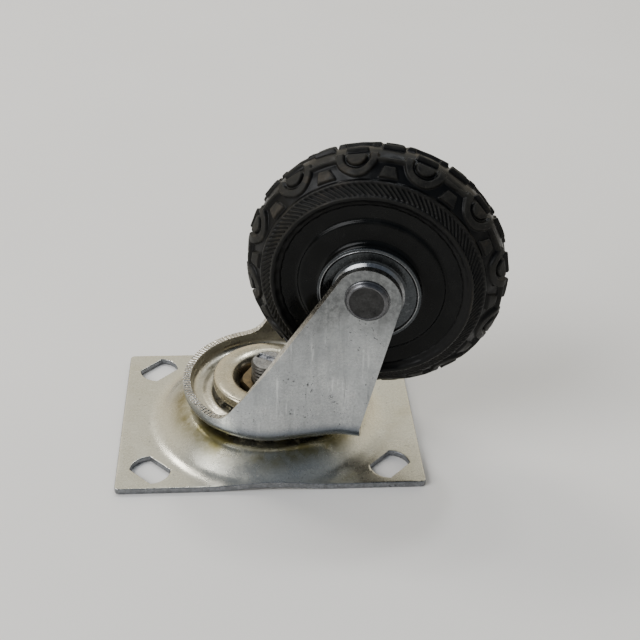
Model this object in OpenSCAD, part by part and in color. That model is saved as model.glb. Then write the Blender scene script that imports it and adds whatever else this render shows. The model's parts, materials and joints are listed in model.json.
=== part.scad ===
// Swivel gate wheel, standing on its mounting plate with the wheel up.
// Origin: centre of the plate's underside. +X along the plate's length, +Z away from the gate.

/* [Plate] */
// Length of the mounting plate
plate_l = 95.25; // [90:0.25:105]
// Width of the mounting plate
plate_w = 70; // [68:0.5:80]
// Thickness of the plate's sheet
plate_t = 2; // [1.6:0.1:2.5]
// Radius of the plate's corners
plate_corner_r = 1.5; // [1:0.5:5]
// Distance between bolt slot centres along the length
slot_dx = 74.5; // [72:0.5:80]
// Distance between bolt slot centres across the width
slot_dy = 52.5; // [50:0.5:58]
// Length of a bolt slot, which is the circle its two ends lie on
slot_len = 12.6; // [10:0.1:14]
// Width of a bolt slot between its two flats
slot_width = 8.3; // [6.5:0.1:9]

/* [Dome] */
// Radius where the pressed dome leaves the flat of the plate
dome_foot_r = 39.5; // [38:0.5:41]
// Radius of the dome's flat top
dome_top_r = 25; // [24:0.5:27]
// Height of the dome's top above the gate
dome_z = 9; // [8:0.1:9.2]
// Steepness of the dome's flank in degrees
dome_slope = 35; // [32:1:40]

/* [Swivel] */
// Swivel angle of the fork about the kingpin, from the plate's length
swivel = -13.2; // [-180:0.1:180]
// Radius of the circle of the lower balls
lower_pitch_r = 19; // [18.6:0.1:19.2]
// Diameter of a lower ball
lower_ball_d = 4.76; // [4.5:0.01:4.8]
// Number of lower balls
lower_balls_n = 22; // [12:1:23]
// Radius of the circle of the upper balls
upper_pitch_r = 14.3; // [14.2:0.1:14.4]
// Diameter of an upper ball
upper_ball_d = 3.97; // [3.8:0.01:4]
// Number of upper balls
upper_balls_n = 20; // [10:1:21]
// Radius of the kingpin's shank
kingpin_r = 5.55; // [5:0.05:5.6]
// Height of the kingpin's threaded end above the gate
kingpin_top_z = 24; // [20:0.5:26]
// Width of the kingpin nut across its flats
nut_af = 15.9; // [14:0.1:16]

/* [Fork] */
// Thickness of the fork's sheet
fork_t = 2.3; // [2:0.1:2.5]
// Height of the fork's base above the gate
fork_z = 10.8; // [10.6:0.1:11]
// Outer radius of the fork's round back
cup_r = 27.4; // [26.5:0.1:28]
// Outer radius of the bend between base and wall
bend_r = 5; // [4:0.5:5]
// Height of the low rim round the back, above the gate
rim_z = 17.6; // [17:0.1:20]
// Angle at which the two legs close in towards the axle, in degrees
taper = 21; // [15:1:24]
// Distance from the middle of the fork to the outer face of an ear
ear_y = 19.4; // [19:0.1:20]
// Radius of the round ear at the axle
ear_r = 9.8; // [9:0.1:10.5]
// Lean of the leg's back edge in degrees
back_edge = 56.8; // [52:0.1:60]
// Lean of the leg's front edge from the vertical in degrees
front_edge = 12.4; // [8:0.1:15]

/* [Wheel] */
// Distance from the kingpin to the axle
trail = 32.6; // [31:0.1:34]
// Height of the axle above the gate
axle_z = 62.7; // [61:0.1:66]
// Radius of the tyre over its tread
tyre_r = 39.3; // [38:0.1:40]
// Radius of the crown's curve across the tread
crown_r = 10.2; // [9:0.1:11]
// Radius of the tyre's side lip
lip_r = 29; // [28.5:0.1:30]
// Half the width of the tyre, at its side lip
lip_y = 13.1; // [12.5:0.1:13.5]
// Radius of the seat between core and tyre
seat_r = 26.4; // [25:0.1:27]
// Radius of the raised middle of the wheel core
core_step_r = 21.5; // [20:0.1:22]
// Half the length of the wheel's hub
hub_y = 14.2; // [13.5:0.1:14.2]

/* [Axle] */
// Radius of the axle rivet's shank
axle_r = 3.95; // [3.5:0.05:4]
// Radius of the rivet's head
head_r = 6.55; // [6:0.05:7]
// Height of the rivet's head
head_h = 1.65; // [1.2:0.05:2.5]
// Outer radius of the axle sleeve
sleeve_r = 6.35; // [6:0.05:6.5]
// Radius of a bearing roller
roller_r = 2; // [1.8:0.05:2.1]
// Number of bearing rollers
rollers_n = 9; // [6:1:10]
// Outer radius of a hub disc
disc_r = 15.2; // [14.5:0.1:16]
// Thickness of a hub disc
disc_t = 0.9; // [0.8:0.1:1]

/* [Hidden] */
$fn = 96;
// Gap of a running fit, on the radius
run_gap = 0.05;
// Gap round pieces that are only clear of each other
clear_gap = 0.4;

// Dome: the sheet's upper surface from the flat up to the dome's top
foot_bend_r = 9;
top_bend_r = 5;
bend_steps = 6;

// Lower balls: their centres lie midway between the plate and the fork
lower_ball_z = (dome_z + fork_z) / 2;
lower_groove_r = lower_ball_d / 2 + run_gap;
race_wall = 1.5;

// Keeper: a dished cap that holds the fork down on the upper balls
fork_floor_z = fork_z + fork_t;
upper_groove_depth = 0.55;
upper_groove_r = upper_ball_d / 2 + run_gap;
upper_ball_z = fork_floor_z - upper_groove_depth + upper_groove_r;
keeper_t = 2;
keeper_r = 17.8;
keeper_hub_r = 11.8;
keeper_well_r = 9.9;
keeper_under_z = upper_ball_z + 1.55;
keeper_rim_z = 15.7;
keeper_crown_z = 19.4;
keeper_lip_t = 1.3;
fork_hole_r = keeper_hub_r + clear_gap;

// Kingpin and its fastening
kingpin_head_r = 8.5;
kingpin_head_h = 4.4;
washer_t = 1.2;
washer_z = dome_z + keeper_t;
nut_z = washer_z + washer_t;
nut_h = 4.8;

// Fork: the wall follows a curve in plan, measured by the distance run along it from the
// middle of a side: a round back, a straight that closes in, a short bend and a straight ear
ease_r = 8;
arc_run = cup_r * taper * PI / 180;
line_x = cup_r * sin(taper);
line_y = cup_r * cos(taper);
ease_x = line_x + (line_y - ear_y - ease_r) / tan(taper) + ease_r / sin(taper);
line_run = (ease_x - ease_r * sin(taper) - line_x) / cos(taper);
ease_run = ease_r * taper * PI / 180;
ear_start = arc_run + line_run + ease_run;
back_run = -cup_r * PI / 2;
ear_run = ear_start + trail - ease_x;

// The top edge of half the wall, as [run, height] points
back_edge_run = atan(tan(back_edge) * 0.93);
ear_left = [ear_run - ear_r * sin(back_edge_run), axle_z + ear_r * cos(back_edge_run)];
ear_right = [ear_run + ear_r * cos(front_edge), axle_z - ear_r * sin(front_edge)];
edge_foot = ear_left[0] - (ear_left[1] - rim_z) / tan(back_edge_run);
rim_end = [edge_foot - 5, rim_z];
edge_start = [edge_foot + 4 * cos(back_edge_run), rim_z + 4 * sin(back_edge_run)];
wall_z = fork_z + bend_r;
front_run = ear_right[0] - (ear_right[1] - wall_z) * tan(front_edge);
back_steps = 9;
fillet_steps = 4;
edge_steps = 8;
ear_steps = 10;
wall_rows = 6;
bend_rows = 5;
flat_strip = 1;

// Wheel
ear_inner_y = ear_y - fork_t;
liner_in_r = sleeve_r + 2 * roller_r + 2 * run_gap;
liner_r = liner_in_r + 1.2;
roller_pitch_r = sleeve_r + roller_r + run_gap;
sleeve_y = ear_inner_y - disc_t;
core_face_y = 12.4;
core_dish_y = 11.2;
roller_len = 2 * hub_y - 5;
rivet_washer_r = head_r - 0.6;
rivet_washer_t = 1.2;

function lerp(a, b, t) = a + (b - a) * t;

// The sheet's surface lifted by h above the lower face, h = 0 or the sheet's thickness
function dome_curve(h) = concat(
    [for (k = [0:bend_steps]) let (a = dome_slope * k / bend_steps, r = foot_bend_r + plate_t - h)
        [dome_foot_r - r * sin(a), h + r * (1 - cos(a))]],
    [for (k = [bend_steps:-1:0]) let (a = dome_slope * k / bend_steps, r = top_bend_r - plate_t + h)
        [dome_top_r + r * sin(a), dome_z - plate_t + h - r * (1 - cos(a))]]
);

// A point on the fork's wall in plan: [x, y, inward x, inward y], for y towards the near side
function wall_plan(run) =
    run <= arc_run ?
        let (a = run / cup_r * 180 / PI) [cup_r * sin(a), cup_r * cos(a), -sin(a), -cos(a)] :
    run <= arc_run + line_run ?
        let (d = run - arc_run)
        [line_x + d * cos(taper), line_y - d * sin(taper), -sin(taper), -cos(taper)] :
    run <= ear_start ?
        let (a = (ear_start - run) / ease_r * 180 / PI)
        [ease_x - ease_r * sin(a), ear_y + ease_r * (1 - cos(a)), -sin(a), -cos(a)] :
    [ease_x + run - ear_start, ear_y, 0, -1];

// A wall point set in from the outer face by inset, at a height
function wall_point(run, inset, z) =
    let (p = wall_plan(run)) [p[0] + inset * p[2], -p[1] - inset * p[3], z];

// Top edge from the middle of the back to the front of the ear
function bezier(a, b, c, t) = lerp(lerp(a, b, t), lerp(b, c, t), t);
wall_tops = concat(
    [for (k = [0:back_steps]) [lerp(back_run, rim_end[0], k / back_steps), rim_z]],
    [for (k = [1:fillet_steps])
        bezier(rim_end, [edge_foot, rim_z], edge_start, k / fillet_steps)],
    [for (k = [1:edge_steps]) lerp(edge_start, ear_left, k / edge_steps)],
    [for (k = [1:ear_steps]) let (a = lerp(90 + back_edge_run, -front_edge, k / ear_steps))
        [ear_run + ear_r * cos(a), axle_z + ear_r * sin(a)]]
);
stations = len(wall_tops) - 1;
// Where each top point's line meets the top of the bend
wall_feet = [for (k = [0:stations])
    k <= back_steps ? wall_tops[k][0] :
    lerp(rim_end[0], front_run, (k - back_steps) / (stations - back_steps))];

// One line of points from the base, round the bend and up the wall, on the face at depth
function wall_line(k, depth) = concat(
    [for (inset = [bend_r + flat_strip, bend_r]) wall_point(wall_feet[k], inset, fork_z + depth)],
    [for (j = [1:bend_rows]) let (a = 90 * j / bend_rows, r = bend_r - depth)
        wall_point(wall_feet[k], bend_r - r * sin(a), wall_z - r * cos(a))],
    [for (j = [1:wall_rows]) let (t = j / wall_rows)
        wall_point(lerp(wall_feet[k], wall_tops[k][0], t), depth,
            lerp(wall_z, wall_tops[k][1], t))]
);
function far_side(line) = [for (p = line) [p[0], -p[1], p[2]]];
function round_wall(depth) = concat(
    [for (k = [stations:-1:1]) wall_line(k, depth)],
    [for (k = [0:stations]) far_side(wall_line(k, depth))]
);

// A closed sheet between two grids of points of the same size
module sheet(outer, inner) {
    n = len(outer);
    m = len(outer[0]);
    points = concat([for (line = outer) each line], [for (line = inner) each line]);
    function at(i, j, s) = s * n * m + i * m + j;
    function quad(a, b, c, d) = [[a, c, b], [a, d, c]];
    faces = concat(
        [for (i = [0:n - 2], j = [0:m - 2])
            each quad(at(i, j, 0), at(i, j + 1, 0), at(i + 1, j + 1, 0), at(i + 1, j, 0))],
        [for (i = [0:n - 2], j = [0:m - 2])
            each quad(at(i, j, 1), at(i + 1, j, 1), at(i + 1, j + 1, 1), at(i, j + 1, 1))],
        [for (i = [0:n - 2])
            each quad(at(i, 0, 0), at(i + 1, 0, 0), at(i + 1, 0, 1), at(i, 0, 1))],
        [for (i = [0:n - 2])
            each quad(at(i, m - 1, 0), at(i, m - 1, 1), at(i + 1, m - 1, 1), at(i + 1, m - 1, 0))],
        [for (j = [0:m - 2])
            each quad(at(0, j, 0), at(0, j, 1), at(0, j + 1, 1), at(0, j + 1, 0))],
        [for (j = [0:m - 2])
            each quad(at(n - 1, j, 0), at(n - 1, j + 1, 0), at(n - 1, j + 1, 1), at(n - 1, j, 1))]
    );
    polyhedron(points, faces);
}

// A ring of square section between two radii
module ring(r_in, r_out, h) {
    difference() {
        cylinder(h = h, r = r_out);
        translate([0, 0, -1])
            cylinder(h = h + 2, r = r_in);
    }
}

module swivelled() {
    rotate([0, 0, swivel])
        children();
}

// Children are drawn with the axle along Z, and Z = 0 in the middle of the wheel
module on_axle() {
    swivelled()
        translate([trail, 0, axle_z])
            rotate([-90, 0, 0])
                children();
}

module double_d(len, width, h) {
    intersection() {
        cylinder(h = h, r = len / 2);
        translate([-len, -width / 2, 0])
            cube([2 * len, width, h]);
    }
}

module plate_sheet() {
    lower = dome_curve(0);
    upper = dome_curve(plate_t);
    rotate_extrude()
        polygon(concat(
            [[0, dome_z - plate_t], [0, dome_z]],
            [for (k = [len(upper) - 1:-1:0]) upper[k]],
            [[plate_l, plate_t], [plate_l, 0]],
            lower
        ));
}

module plate_outline(h) {
    dx = plate_l / 2 - plate_corner_r;
    dy = plate_w / 2 - plate_corner_r;
    translate([-plate_l / 2, -dy, 0])
        cube([plate_l, 2 * dy, h]);
    translate([-dx, -plate_w / 2, 0])
        cube([2 * dx, plate_w, h]);
    for (x = [-dx, dx], y = [-dy, dy])
        translate([x, y, 0])
            cylinder(h = h, r = plate_corner_r, $fn = 48);
}

// The part of a race's round bead between two heights
module race_bead(r, z, pitch_r, low, high) {
    rotate_extrude()
        intersection() {
            translate([pitch_r, z])
                circle(r = r);
            translate([pitch_r - 2 * r, low])
                square([4 * r, high - low]);
        }
}

module race_groove(r, z, pitch_r) {
    rotate_extrude()
        translate([pitch_r, z])
            circle(r = r);
}

module mounting_plate() {
    color("silver")
        difference() {
            union() {
                intersection() {
                    plate_sheet();
                    translate([0, 0, -1])
                        plate_outline(dome_z + 2);
                }
                race_bead(lower_groove_r + race_wall, lower_ball_z, lower_pitch_r,
                    lower_ball_z - 2 * lower_groove_r, dome_z - plate_t / 2);
            }
            race_groove(lower_groove_r, lower_ball_z, lower_pitch_r);
            translate([0, 0, -1])
                cylinder(h = dome_z + 2, r = kingpin_r + run_gap);
            for (sx = [-1, 1], sy = [-1, 1])
                translate([sx * slot_dx / 2, sy * slot_dy / 2, -1])
                    rotate([0, 0, -sx * sy * 45])
                        double_d(slot_len, slot_width, plate_t + 2);
        }
}

module kingpin() {
    head_z = dome_z - plate_t - kingpin_head_h;
    chamfer = 0.8;
    color("dimgray")
        rotate_extrude()
            polygon([
                [0, head_z],
                [kingpin_head_r - chamfer, head_z],
                [kingpin_head_r, head_z + chamfer],
                [kingpin_head_r, head_z + kingpin_head_h],
                [kingpin_r, head_z + kingpin_head_h],
                [kingpin_r, kingpin_top_z - chamfer],
                [kingpin_r - chamfer, kingpin_top_z],
                [0, kingpin_top_z]
            ]);
}

module kingpin_washer() {
    gap = 1;
    color("gray")
        translate([0, 0, washer_z])
            difference() {
                ring(kingpin_r + run_gap, nut_af / 2 + 0.3, washer_t);
                translate([0, -gap / 2, -1])
                    cube([nut_af, gap, washer_t + 2]);
            }
}

module kingpin_nut() {
    chamfer = 0.9;
    corner_r = nut_af / 2 / cos(30);
    color("goldenrod")
        translate([0, 0, nut_z])
            difference() {
                intersection() {
                    cylinder(h = nut_h, r = corner_r, $fn = 6);
                    cylinder(h = nut_h, r1 = corner_r + nut_h / 2, r2 = corner_r - chamfer);
                }
                translate([0, 0, -1])
                    cylinder(h = nut_h + 2, r = kingpin_r + run_gap);
            }
}

module keeper() {
    lip_in_r = keeper_r - keeper_lip_t;
    color("wheat")
        difference() {
            rotate_extrude()
                polygon([
                    [kingpin_r + run_gap, dome_z],
                    [keeper_hub_r - 0.6, dome_z],
                    [keeper_hub_r, dome_z + 0.6],
                    [keeper_hub_r, keeper_under_z],
                    [lip_in_r - 0.4, keeper_under_z],
                    [lip_in_r, keeper_under_z - 0.4],
                    [lip_in_r, keeper_rim_z],
                    [keeper_r - 0.2, keeper_rim_z],
                    [keeper_r, keeper_rim_z + 0.2],
                    [keeper_r, keeper_crown_z - 1.6],
                    [keeper_r - 0.35, keeper_crown_z - 0.9],
                    [keeper_r - 1.2, keeper_crown_z - 0.4],
                    [keeper_r - 2.6, keeper_crown_z - 0.05],
                    [keeper_r - 3.6, keeper_crown_z],
                    [keeper_r - 4.8, keeper_crown_z - 0.1],
                    [keeper_well_r + 1.7, keeper_crown_z - 0.45],
                    [keeper_well_r + 0.7, keeper_crown_z - 1.1],
                    [keeper_well_r + 0.1, keeper_crown_z - 2.2],
                    [keeper_well_r, keeper_crown_z - 3.4],
                    [keeper_well_r, dome_z + keeper_t + 0.8],
                    [keeper_well_r - 0.8, dome_z + keeper_t],
                    [kingpin_r + run_gap, dome_z + keeper_t]
                ]);
            race_groove(upper_groove_r, upper_ball_z, upper_pitch_r);
        }
}

module ball_circle(n, pitch_r, z, d) {
    for (i = [0:n - 1])
        rotate([0, 0, i * 360 / n])
            translate([pitch_r, 0, z])
                sphere(d = d, $fn = 32);
}

module lower_balls() {
    color("lightgray")
        ball_circle(lower_balls_n, lower_pitch_r, lower_ball_z, lower_ball_d);
}

module upper_balls() {
    color("lightgray")
        ball_circle(upper_balls_n, upper_pitch_r, upper_ball_z, upper_ball_d);
}

// The flat part of the fork, out to the middle of the strip it shares with the bend
module fork_floor() {
    inset = bend_r + flat_strip / 2;
    near = [for (k = [stations:-1:0]) let (p = wall_point(wall_feet[k], inset, 0)) [p[0], p[1]]];
    far = [for (k = [1:stations]) let (p = wall_point(wall_feet[k], inset, 0)) [p[0], -p[1]]];
    scoop_r = 26;
    scoop_depth = 6;
    difference() {
        translate([0, 0, fork_z])
            linear_extrude(fork_t)
                polygon(concat(near, far));
        translate([wall_plan(front_run)[0] - scoop_depth + scoop_r, 0, fork_z - 1])
            cylinder(h = fork_t + 2, r = scoop_r);
    }
}

// The flat base with both ball grooves, the lower one pressed up as a bead
module fork_base() {
    difference() {
        union() {
            fork_floor();
            race_bead(lower_groove_r + race_wall, lower_ball_z, lower_pitch_r,
                fork_z + fork_t / 2, fork_floor_z + 4);
        }
        race_groove(lower_groove_r, lower_ball_z, lower_pitch_r);
        race_groove(upper_groove_r, upper_ball_z, upper_pitch_r);
        translate([0, 0, fork_z - 1])
            cylinder(h = fork_t + 2, r = fork_hole_r);
    }
}

// The bend, the cup's back and both legs, with the axle's holes and a flat seat round each
module fork_wall() {
    seat = head_r + 0.2;
    seat_y = ear_y - 0.02;
    difference() {
        sheet(round_wall(0), round_wall(fork_t));
        translate([trail, 2 * ear_y, axle_z])
            rotate([90, 0, 0])
                cylinder(h = 4 * ear_y, r = axle_r + run_gap);
        for (low_y = [-seat_y - fork_t, seat_y])
            translate([trail - seat, low_y, axle_z - seat])
                cube([2 * seat, fork_t, 2 * seat]);
    }
}

module fork() {
    color("lightsteelblue")
        swivelled() {
            fork_base();
            fork_wall();
        }
}

module axle_rivet() {
    formed_y = ear_y + rivet_washer_t;
    step_h = 0.9;
    color("dimgray")
        on_axle()
            rotate_extrude()
                polygon([
                    [0, -ear_y - head_h],
                    [head_r - 1.25, -ear_y - head_h],
                    [head_r - 0.85, -ear_y - head_h + 0.15],
                    [head_r - 0.6, -ear_y - step_h],
                    [head_r - 0.2, -ear_y - step_h + 0.15],
                    [head_r, -ear_y - step_h + 0.4],
                    [head_r, -ear_y],
                    [axle_r, -ear_y],
                    [axle_r, formed_y],
                    [head_r - 0.9, formed_y],
                    [head_r - 1.1, formed_y + 0.8],
                    [head_r - 2.2, formed_y + 1.6],
                    [head_r - 3.8, formed_y + 2.1],
                    [0, formed_y + 2.2]
                ]);
}

module rivet_washer() {
    color("silver")
        on_axle()
            translate([0, 0, ear_y])
                ring(axle_r + run_gap, rivet_washer_r, rivet_washer_t);
}

module axle_sleeve() {
    color("silver")
        on_axle()
            translate([0, 0, -sleeve_y])
                ring(axle_r + run_gap, sleeve_r, 2 * sleeve_y);
}

// A pressed disc: flat middle, steep shoulder, flat band and rolled rim, facing along +Z
module hub_disc() {
    top = [
        [axle_r + run_gap, 0], [8.6, 0], [9.3, -0.2], [10.3, -1.2], [10.9, -1.45],
        [13.7, -1.15], [14.1, -0.8], [14.6, -0.75], [disc_r - 0.2, -0.9], [disc_r, -1.3]
    ];
    rim = 7;
    under = [for (k = [len(top) - 1:-1:0])
        top[k] + (k > rim ? [-0.5, 0.2 - disc_t] : [0, -disc_t])];
    rotate_extrude()
        polygon(concat(top, under));
}

module hub_disc_near() {
    color("silver")
        on_axle()
            mirror([0, 0, 1])
                translate([0, 0, ear_inner_y])
                    hub_disc();
}

module hub_disc_far() {
    color("silver")
        on_axle()
            translate([0, 0, ear_inner_y])
                hub_disc();
}

// Half the tyre's section from the crown to the inner edge of the lip, as [radius, side] points
function tyre_half() =
    let (centre = tyre_r - crown_r, last = 50)
    concat(
        [for (k = [0:8]) let (a = last * k / 8) [centre + crown_r * cos(a), crown_r * sin(a)]],
        [[lip_r + 3.7, lip_y - 2.7], [lip_r + 0.5, lip_y - 0.25], [lip_r, lip_y + 0.05],
            [lip_r - 0.6, lip_y + 0.1], [lip_r - 1.2, lip_y - 0.4], [seat_r, core_dish_y + 0.8]]
    );

module tyre() {
    half = tyre_half();
    groove_w = 1.8;
    color([0.12, 0.12, 0.12])
        on_axle()
            difference() {
                rotate_extrude()
                    polygon(concat(
                        [for (k = [len(half) - 1:-1:0]) [half[k][0], -half[k][1]]],
                        [for (k = [1:len(half) - 1]) half[k]]
                    ));
                translate([0, 0, -groove_w / 2])
                    ring(tyre_r - 2, tyre_r + 1, groove_w);
            }
}

module wheel_core() {
    half = [
        [liner_r, hub_y], [14, hub_y], [14.6, hub_y - 0.6], [15.2, core_face_y + 0.7],
        [16, core_face_y], [core_step_r - 0.6, core_face_y - 0.3],
        [core_step_r, core_face_y - 0.8], [core_step_r + 0.3, core_dish_y - 0.3],
        [core_step_r + 1.2, core_dish_y - 0.6], [seat_r - 1.5, core_dish_y + 0.2],
        [seat_r, core_dish_y + 0.8]
    ];
    color([0.16, 0.16, 0.17])
        on_axle()
            rotate_extrude()
                polygon(concat(
                    half,
                    [for (k = [len(half) - 1:-1:0]) [half[k][0], -half[k][1]]]
                ));
}

module bearing_liner() {
    color("slategray")
        on_axle()
            translate([0, 0, -hub_y])
                ring(liner_in_r, liner_r, 2 * hub_y);
}

module bearing_rollers() {
    color("gainsboro")
        on_axle()
            for (i = [0:rollers_n - 1])
                rotate([0, 0, i * 360 / rollers_n])
                    translate([roller_pitch_r, 0, -roller_len / 2])
                        cylinder(h = roller_len, r = roller_r, $fn = 32);
}

module bearing_cage() {
    cage_len = 2 * hub_y - 1;
    color("peru")
        on_axle()
            difference() {
                translate([0, 0, -cage_len / 2])
                    ring(roller_pitch_r - 1, roller_pitch_r + 1, cage_len);
                for (i = [0:rollers_n - 1])
                    rotate([0, 0, i * 360 / rollers_n])
                        translate([roller_pitch_r, 0, -roller_len / 2 - 0.2])
                            cylinder(h = roller_len + 0.4, r = roller_r + 0.12, $fn = 32);
            }
}

mounting_plate();
kingpin();
kingpin_washer();
kingpin_nut();
keeper();
lower_balls();
upper_balls();
fork();
axle_rivet();
rivet_washer();
axle_sleeve();
hub_disc_near();
hub_disc_far();
tyre();
wheel_core();
bearing_liner();
bearing_rollers();
bearing_cage();
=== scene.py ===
import json
import math

import bmesh
import bpy
import numpy as np
from mathutils import Matrix, Vector


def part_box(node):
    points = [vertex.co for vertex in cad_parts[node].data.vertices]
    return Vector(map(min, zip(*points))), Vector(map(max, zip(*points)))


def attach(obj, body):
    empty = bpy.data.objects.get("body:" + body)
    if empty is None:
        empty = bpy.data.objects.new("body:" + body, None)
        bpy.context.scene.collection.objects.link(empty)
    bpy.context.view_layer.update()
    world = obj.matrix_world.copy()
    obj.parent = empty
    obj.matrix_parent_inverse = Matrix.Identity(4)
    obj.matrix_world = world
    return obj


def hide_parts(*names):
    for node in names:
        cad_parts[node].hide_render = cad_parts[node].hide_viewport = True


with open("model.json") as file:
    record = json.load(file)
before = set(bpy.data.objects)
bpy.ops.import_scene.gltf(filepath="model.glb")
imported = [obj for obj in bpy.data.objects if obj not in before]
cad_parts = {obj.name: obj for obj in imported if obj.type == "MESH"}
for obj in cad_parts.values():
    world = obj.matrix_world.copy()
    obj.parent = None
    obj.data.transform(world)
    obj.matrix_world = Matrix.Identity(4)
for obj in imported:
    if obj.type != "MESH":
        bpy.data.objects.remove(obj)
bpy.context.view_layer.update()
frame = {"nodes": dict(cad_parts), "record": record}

# ---------------------------------------------------------------- places from the frame
MM = 0.001
record = frame["record"]
joints = {joint["name"]: joint for joint in record["behaviour"]["joints"]}
axle = Vector(joints["wheel_spin"]["pos_m"])
axle_dir = Vector(joints["wheel_spin"]["axis"])
trail_dir = Vector((axle_dir.y, -axle_dir.x, 0))
FORK = Matrix((
    (trail_dir.x, axle_dir.x, 0, 0),
    (trail_dir.y, axle_dir.y, 0, 0),
    (0, 0, 1, 0),
    (0, 0, 0, 1),
))
# Lathe axis along the axle, away from the camera
AXLE = Matrix.Translation(axle) @ FORK.to_3x3().to_4x4() @ Matrix.Rotation(math.radians(-90), 4, "X")
HOME = Matrix.Identity(4)


def node_box(node):
    low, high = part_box(node)
    return [v / MM for v in low], [v / MM for v in high]


plate_high = node_box("mounting_plate")[1]
keeper_high = node_box("keeper")[1]
pin_high = node_box("kingpin")[1]
tyre_low, tyre_high = node_box("tyre")

# ---------------------------------------------------------------- node helpers


def material(name):
    mat = bpy.data.materials.new(name)
    mat.use_nodes = True
    nodes = mat.node_tree.nodes
    for node in list(nodes):
        if node.type != "OUTPUT_MATERIAL":
            nodes.remove(node)
    shader = nodes.new("ShaderNodeBsdfPrincipled")
    out = [node for node in nodes if node.type == "OUTPUT_MATERIAL"][0]
    mat.node_tree.links.new(shader.outputs[0], out.inputs[0])
    return mat, shader


def add(mat, kind, **values):
    node = mat.node_tree.nodes.new(kind)
    for key, value in values.items():
        setattr(node, key, value)
    return node


def link(mat, a, b):
    mat.node_tree.links.new(a, b)


def coords(mat, scale=(1, 1, 1)):
    source = add(mat, "ShaderNodeTexCoord")
    mapping = add(mat, "ShaderNodeMapping")
    mapping.inputs["Scale"].default_value = scale
    link(mat, source.outputs["Object"], mapping.inputs["Vector"])
    return mapping.outputs["Vector"]


def noise(mat, scale, detail=4, rough=0.55, stretch=(1, 1, 1), distortion=0.0):
    node = add(mat, "ShaderNodeTexNoise")
    node.inputs["Scale"].default_value = scale
    node.inputs["Detail"].default_value = detail
    node.inputs["Roughness"].default_value = rough
    node.inputs["Distortion"].default_value = distortion
    link(mat, coords(mat, stretch), node.inputs["Vector"])
    return node.outputs["Fac"]


def remap(mat, value, low, high, to_low=0.0, to_high=1.0, smooth=True):
    node = add(mat, "ShaderNodeMapRange")
    node.interpolation_type = "SMOOTHSTEP" if smooth else "LINEAR"
    node.inputs["From Min"].default_value = low
    node.inputs["From Max"].default_value = high
    node.inputs["To Min"].default_value = to_low
    node.inputs["To Max"].default_value = to_high
    link(mat, value, node.inputs["Value"])
    return node.outputs["Result"]


def maths(mat, operation, a, b):
    node = add(mat, "ShaderNodeMath", operation=operation)
    for index, value in enumerate((a, b)):
        if isinstance(value, (int, float)):
            node.inputs[index].default_value = value
        else:
            link(mat, value, node.inputs[index])
    return node.outputs[0]


def mix(mat, factor, a, b):
    node = add(mat, "ShaderNodeMix", data_type="RGBA")
    sockets = (("Factor", factor), ("A", a), ("B", b))
    ends = {"Factor": node.inputs[0], "A": node.inputs[6], "B": node.inputs[7]}
    for name, value in sockets:
        if isinstance(value, (int, float)):
            ends[name].default_value = value
        elif isinstance(value, tuple):
            ends[name].default_value = (*value, 1)
        else:
            link(mat, value, ends[name])
    return node.outputs[2]


def bump(mat, shader, height, distance, strength=1.0):
    node = add(mat, "ShaderNodeBump")
    node.inputs["Distance"].default_value = distance
    node.inputs["Strength"].default_value = strength
    link(mat, height, node.inputs["Height"])
    link(mat, node.outputs["Normal"], shader.inputs["Normal"])


def height_of(mat):
    source = add(mat, "ShaderNodeTexCoord")
    split = add(mat, "ShaderNodeSeparateXYZ")
    link(mat, source.outputs["Object"], split.inputs[0])
    return split.outputs["Z"]


def around(mat, inner, outer, fade):
    """A soft ring round the swivel axis, in metres."""
    source = add(mat, "ShaderNodeTexCoord")
    flat = add(mat, "ShaderNodeVectorMath", operation="MULTIPLY")
    flat.inputs[1].default_value = (1, 1, 0)
    link(mat, source.outputs["Object"], flat.inputs[0])
    length = add(mat, "ShaderNodeVectorMath", operation="LENGTH")
    link(mat, flat.outputs["Vector"], length.inputs[0])
    reach = length.outputs["Value"]
    rise = remap(mat, reach, inner - fade, inner)
    drop = remap(mat, reach, outer, outer + fade, 1.0, 0.0)
    return maths(mat, "MULTIPLY", rise, drop)


def sheared(mat):
    """Fine radial teeth round the swivel axis, as a press tool leaves on a cut edge."""
    source = add(mat, "ShaderNodeTexCoord")
    split = add(mat, "ShaderNodeSeparateXYZ")
    link(mat, source.outputs["Object"], split.inputs[0])
    angle = maths(mat, "ARCTAN2", split.outputs["Y"], split.outputs["X"])
    jitter = maths(mat, "MULTIPLY", noise(mat, 300, 2, 0.5), 4.0)
    wave = maths(mat, "SINE", maths(mat, "ADD", maths(mat, "MULTIPLY", angle, 130.0), jitter), 0.0)
    low_rim = remap(mat, height_of(mat), 0.019, 0.024, 1.0, 0.0)
    return maths(mat, "MULTIPLY", wave, maths(mat, "MULTIPLY", noise(mat, 210, 3, 0.6), low_rim))


def attribute(mat, name):
    node = add(mat, "ShaderNodeAttribute", attribute_name=name)
    return node.outputs["Fac"]


# ---------------------------------------------------------------- materials


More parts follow.
